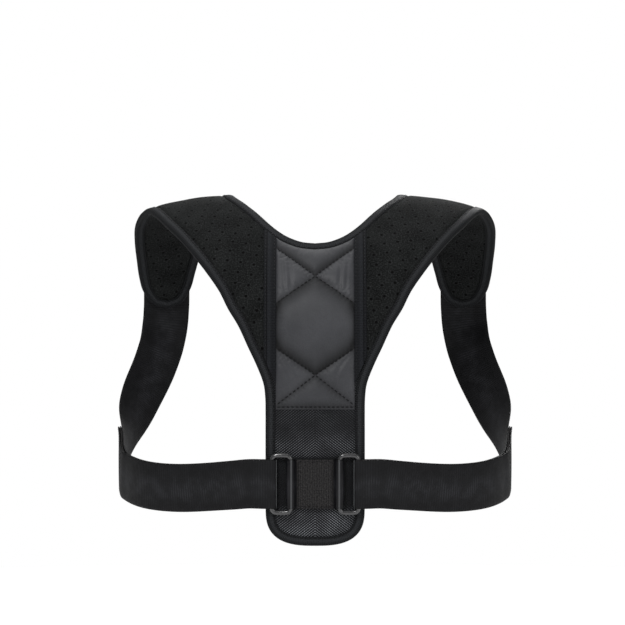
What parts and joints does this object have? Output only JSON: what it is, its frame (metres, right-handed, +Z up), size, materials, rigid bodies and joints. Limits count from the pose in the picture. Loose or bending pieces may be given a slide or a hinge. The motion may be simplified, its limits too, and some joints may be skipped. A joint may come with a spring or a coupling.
{
  "type": "posture corrector",
  "caption": "Back and shoulder posture brace: padded wings, quilted spine panel, oval rings and webbing straps that pass under the arms.",
  "frame": {"origin": "middle of the centre panel's inner face, level with the middle of the arm openings, where the brace sits on the upper back", "axes": "+X to the right as seen from behind the back, +Y from the back panel towards the front of the chest, +Z up"},
  "size_m": [0.3716, 0.242, 0.3209],
  "materials": {
    "panel_cloth": "dark grey chevron weave",
    "quilted_leather": "grey synthetic leather, soft sheen, stitched crosses",
    "binding_tape": "ribbed satin edge tape",
    "seam_tape": "ribbed woven seam tape",
    "pad_knit": "near black fuzzy knit over foam, punched with rows of small holes",
    "strap_webbing": "smooth dark loop-faced webbing",
    "keeper_webbing": "smooth dark webbing, slight gloss",
    "hook_tape": "rough hook and loop face",
    "ring_plastic": "glossy black moulded plastic"
  },
  "bodies": {
    "root": {"centre_panel": "panel_cloth", "quilted_insert": "quilted_leather", "neck_binding": "binding_tape", "outer_binding": "binding_tape", "ring_keeper": "keeper_webbing", "keeper_patch": "hook_tape", "shoulder_pad_right": "pad_knit", "shoulder_pad_left": "pad_knit", "seam_tape_right": "seam_tape", "seam_tape_left": "seam_tape", "ring_right": "ring_plastic", "ring_left": "ring_plastic", "strap_right": "strap_webbing", "strap_left": "strap_webbing", "hook_tab_right": "hook_tape", "hook_tab_left": "hook_tape"}
  },
  "joints": []
}
